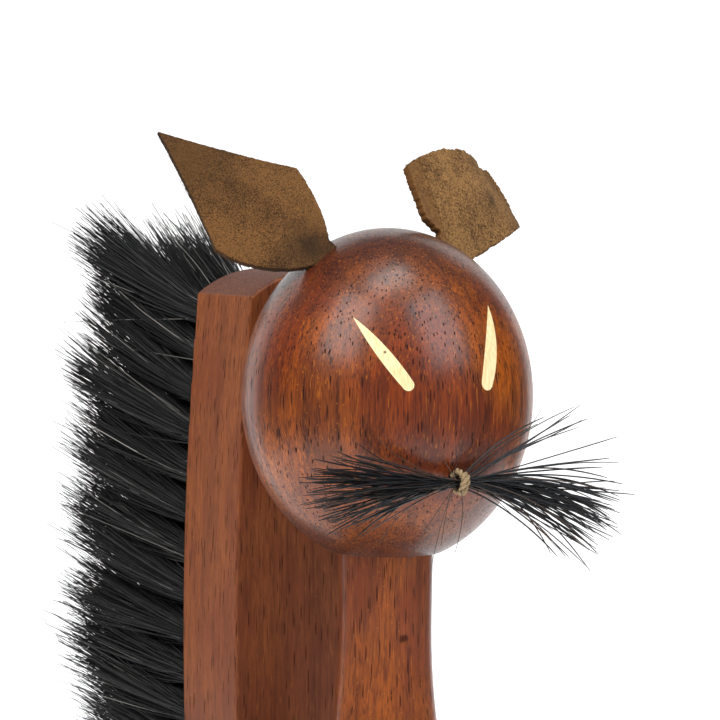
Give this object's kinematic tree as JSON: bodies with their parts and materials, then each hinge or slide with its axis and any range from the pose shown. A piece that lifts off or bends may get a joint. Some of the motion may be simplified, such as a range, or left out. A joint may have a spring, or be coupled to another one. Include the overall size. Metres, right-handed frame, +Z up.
{
  "type": "clothes brush",
  "caption": "Clothes brush with a stand: a turned wooden cat on a round base, with leather ears and bristle whiskers, holds the brush upright behind it on a magnet.",
  "frame": {"origin": "on the cat's vertical axis, at the underside of the base's felt", "axes": "+Z up, the cat looks along -Y, the bristles point along +Y, +X is the cat's left"},
  "size_m": [0.0874, 0.1164, 0.1742],
  "materials": {
    "teak": "oiled and waxed, satin",
    "teak_head": "lacquered, semi-gloss",
    "beech": "bare",
    "eye_inlay": "flush pale inlay, satin",
    "ear_leather": "suede, flesh side out",
    "bristle": "natural bristle, slightly glossy",
    "twine": "waxed linen",
    "felt": "pressed wool",
    "steel": "plain",
    "magnet_plating": "nickel plated",
    "anchor_wire": "drawn wire"
  },
  "bodies": {
    "stand": {"base": "teak", "base_felt": "felt", "base_screw": "steel", "body": "teak", "neck_dowel": "beech", "head": "teak_head", "head_magnet": "magnet_plating", "ear_left": "ear_leather", "ear_right": "ear_leather", "eye_left": "eye_inlay", "eye_right": "eye_inlay", "whisker_bundle": "bristle", "whisker_twine": "twine"},
    "brush": {"brush_block": "teak", "keeper_plate": "steel", "keeper_screw": "steel", "bristle_row_1": "bristle", "bristle_row_2": "bristle", "bristle_row_3": "bristle", "bristle_row_4": "bristle", "bristle_row_5": "bristle", "tuft_anchors_1": "anchor_wire", "tuft_anchors_2": "anchor_wire", "tuft_anchors_3": "anchor_wire", "tuft_anchors_4": "anchor_wire", "tuft_anchors_5": "anchor_wire"}
  },
  "joints": [
    {"name": "brush_lift", "type": "slide", "parent": "stand", "child": "brush", "axis": [0, 0, 1], "range_m": [0, 0.17]}
  ]
}
